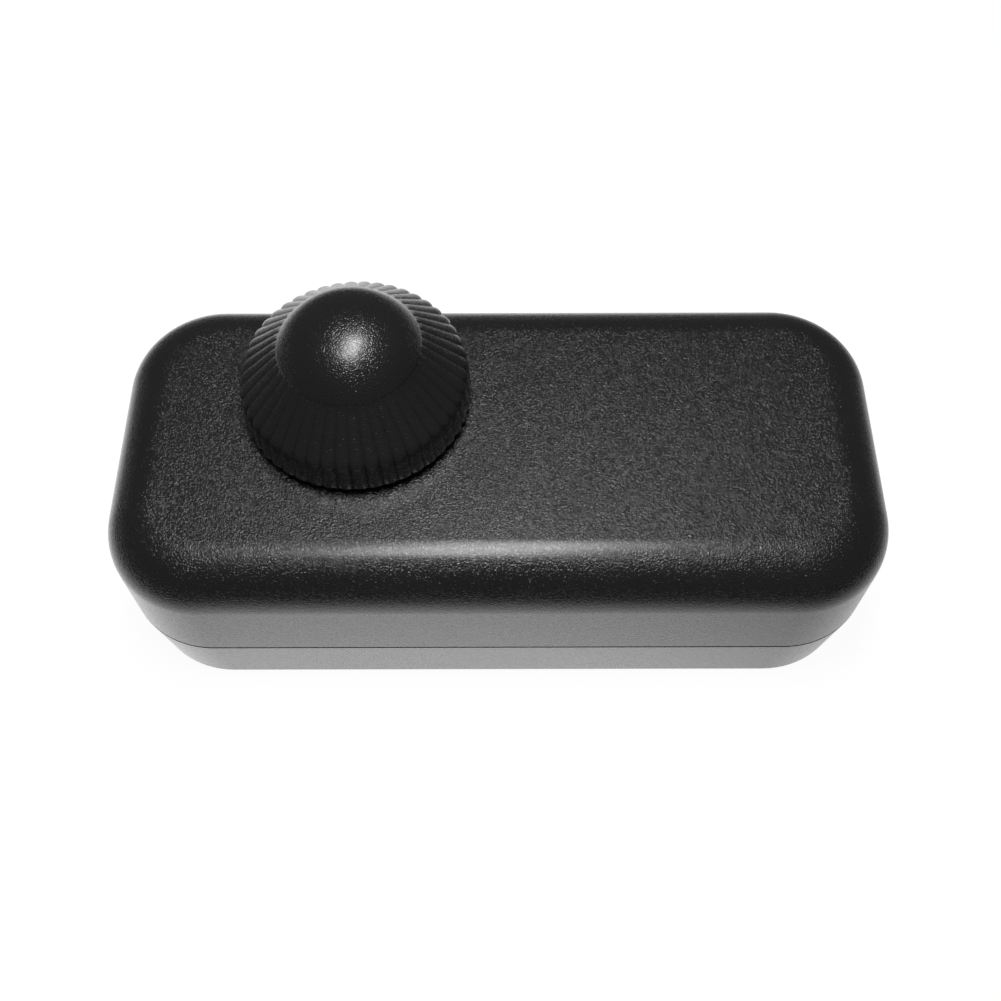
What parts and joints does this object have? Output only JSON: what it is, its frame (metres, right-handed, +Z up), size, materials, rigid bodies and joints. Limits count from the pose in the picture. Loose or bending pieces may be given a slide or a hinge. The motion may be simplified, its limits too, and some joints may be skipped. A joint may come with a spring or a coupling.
{
  "type": "rotary switch",
  "caption": "Black in-line rotary lamp dimmer switch: a rounded two-part housing with a ribbed, domed knob near one end.",
  "frame": {"origin": "middle of the underside, on the table", "axes": "+X along the length away from the knob, +Y to the back, towards the edge the knob is nearer, +Z up"},
  "size_m": [0.08, 0.036, 0.036],
  "materials": {
    "housing_plastic": "spark-eroded satin",
    "knob_plastic": "fine satin",
    "zinc_steel": "zinc plated",
    "die_cast_zinc": "as cast",
    "shaft_metal": "turned",
    "nickel": "nickel plated",
    "rotor_plastic": "moulded",
    "lever_plastic": "moulded",
    "spring_brass": "rolled",
    "tinned_brass": "tin plated",
    "phenolic": "pressed paper laminate",
    "board_laminate": "pressed laminate",
    "capacitor_yellow": "moulded",
    "capacitor_red": "moulded",
    "powder_core": "coated",
    "enamelled_copper": "enamelled",
    "tinned_copper": "tin plated",
    "epoxy": "moulded",
    "aluminium_sheet": "rolled",
    "resistor_lacquer": "lacquered",
    "diac_glass": "drawn",
    "fuse_glass": "drawn",
    "block_plastic": "moulded",
    "clamp_plastic": "moulded"
  },
  "bodies": {
    "housing": {"upper_cover": "housing_plastic", "lower_case": "housing_plastic", "housing_screws": "zinc_steel", "pot_bushing": "die_cast_zinc", "pot_nut": "nickel", "pot_washer": "nickel", "pot_can": "zinc_steel", "pot_wafer": "phenolic", "pot_terminals": "tinned_brass", "switch_housing": "rotor_plastic", "switch_lever": "lever_plastic", "switch_terminals": "tinned_brass", "circuit_board": "board_laminate", "board_screws": "zinc_steel", "film_capacitor": "capacitor_yellow", "timing_capacitor": "capacitor_red", "choke_core": "powder_core", "choke_winding": "enamelled_copper", "triac_body": "epoxy", "triac_frame": "tinned_copper", "heat_sink": "aluminium_sheet", "triac_screw": "zinc_steel", "triac_nut": "zinc_steel", "resistors": "resistor_lacquer", "diac": "diac_glass", "fuse_tube": "fuse_glass", "fuse_caps": "nickel", "fuse_clips": "tinned_brass", "terminal_blocks": "block_plastic", "terminal_clamps": "tinned_brass", "terminal_screws": "zinc_steel", "cord_clamps": "clamp_plastic", "clamp_screws": "zinc_steel"},
    "spindle": {"knob": "knob_plastic", "pot_shaft": "shaft_metal", "shaft_ring": "zinc_steel", "pot_rotor": "rotor_plastic", "pot_wiper": "spring_brass"}
  },
  "joints": [
    {"name": "knob_turn", "type": "hinge", "parent": "housing", "child": "spindle", "pos_m": [-0.0145, 0.00425, 0.0245], "axis": [0, 0, -1], "range_deg": [0, 300]}
  ]
}
